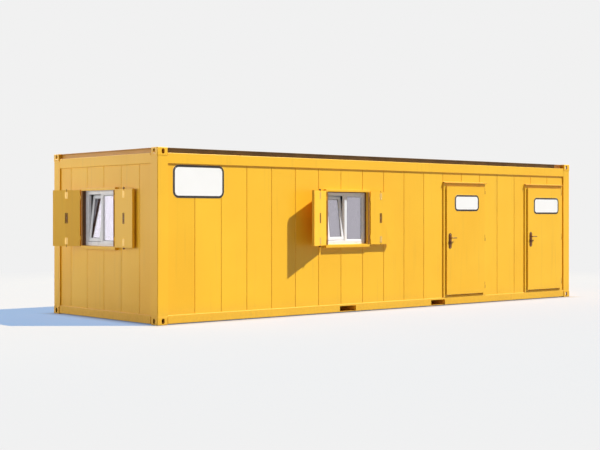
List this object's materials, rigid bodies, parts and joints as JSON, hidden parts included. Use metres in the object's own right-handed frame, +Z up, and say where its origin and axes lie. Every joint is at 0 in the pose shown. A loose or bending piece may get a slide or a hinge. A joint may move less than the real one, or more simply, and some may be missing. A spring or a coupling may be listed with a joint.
{
  "type": "portable site cabin",
  "caption": "Container-style portable site cabin with corner castings, grooved panel walls, ribbed roof, outward doors with levers, shuttered tilting windows and fork pockets.",
  "frame": {"origin": "on the ground, at the middle of the base between the corner castings", "axes": "+X along the length to the right of the front wall, +Y from the front wall to the rear, +Z up"},
  "size_m": [10.0647, 3.2521, 2.6],
  "materials": {
    "yellow_paint": "gloss",
    "roof_paint": "matte",
    "base_paint": "matte",
    "floor_sheet": "matte",
    "white_lining": "matte",
    "white_upvc": "gloss",
    "glazing": "gloss",
    "handle_plastic": "satin",
    "bolt_steel": "satin",
    "hinge_steel": "satin"
  },
  "bodies": {
    "cabin": {"bottom_corner_castings": "yellow_paint", "top_corner_castings": "yellow_paint", "corner_posts": "yellow_paint", "long_bottom_rails": "yellow_paint", "end_bottom_rails": "yellow_paint", "long_top_rails": "yellow_paint", "end_top_rails": "yellow_paint", "fork_pockets": "base_paint", "floor_joists": "base_paint", "floor_deck": "floor_sheet", "front_wall_left": "yellow_paint", "front_wall_over_doors": "yellow_paint", "front_wall_beside_doors": "yellow_paint", "rear_wall": "yellow_paint", "left_end_wall": "yellow_paint", "right_end_wall": "yellow_paint", "ceiling_panel": "white_lining", "roof_sheet": "roof_paint", "roof_edge": "roof_paint", "front_shutter_surround": "yellow_paint", "end_shutter_surround": "yellow_paint", "front_window_frame": "white_upvc", "end_window_frame": "white_upvc", "front_window_sash": "white_upvc", "end_window_sash": "white_upvc", "front_window_glass": "glazing", "end_window_glass": "glazing", "door_1_frame": "yellow_paint", "door_2_frame": "yellow_paint", "door_drip_caps": "yellow_paint", "door_hinge_pins": "yellow_paint", "shutter_hinge_pins": "yellow_paint"},
    "door_1": {"door_1_leaf": "yellow_paint", "door_1_handle_plate": "handle_plastic"},
    "lever_1": {"door_1_lever": "handle_plastic"},
    "door_2": {"door_2_leaf": "yellow_paint", "door_2_handle_plate": "handle_plastic"},
    "lever_2": {"door_2_lever": "handle_plastic"},
    "front_left_leaf": {"front_left_shutter": "yellow_paint", "front_left_shutter_lock": "bolt_steel"},
    "front_right_leaf": {"front_right_shutter": "yellow_paint", "front_right_shutter_lock": "bolt_steel"},
    "end_left_leaf": {"end_left_shutter": "yellow_paint", "end_left_shutter_lock": "bolt_steel"},
    "end_right_leaf": {"end_right_shutter": "yellow_paint", "end_right_shutter_lock": "bolt_steel"}
  },
  "joints": [
    {"name": "door_1_hinge", "type": "hinge", "parent": "cabin", "child": "door_1", "pos_m": [2.324, -1.51, 1.138], "axis": [0, 0, 1], "range_deg": [0, 165]},
    {"name": "lever_1_turn", "type": "hinge", "parent": "door_1", "child": "lever_1", "pos_m": [1.377, -1.52, 1.2], "axis": [0, 1, 0], "range_deg": [0, 40], "stiffness_Nm_per_rad": 1.5, "springref_deg": -17.19},
    {"name": "door_2_hinge", "type": "hinge", "parent": "cabin", "child": "door_2", "pos_m": [4.595, -1.51, 1.138], "axis": [0, 0, 1], "range_deg": [0, 165]},
    {"name": "lever_2_turn", "type": "hinge", "parent": "door_2", "child": "lever_2", "pos_m": [3.648, -1.52, 1.2], "axis": [0, 1, 0], "range_deg": [0, 40], "stiffness_Nm_per_rad": 1.5, "springref_deg": -17.19},
    {"name": "front_left_shutter_hinge", "type": "hinge", "parent": "cabin", "child": "front_left_leaf", "pos_m": [-1.616, -1.545, 1.559], "axis": [0, 0, -1], "range_deg": [-155, 25]},
    {"name": "front_right_shutter_hinge", "type": "hinge", "parent": "cabin", "child": "front_right_leaf", "pos_m": [-0.63, -1.545, 1.559], "axis": [0, 0, 1], "range_deg": [-180, 0]},
    {"name": "end_left_shutter_hinge", "type": "hinge", "parent": "cabin", "child": "end_left_leaf", "pos_m": [-4.925, 0.573, 1.559], "axis": [0, 0, -1], "range_deg": [-148, 32]},
    {"name": "end_right_shutter_hinge", "type": "hinge", "parent": "cabin", "child": "end_right_leaf", "pos_m": [-4.925, -0.413, 1.559], "axis": [0, 0, 1], "range_deg": [-180, 0]}
  ]
}
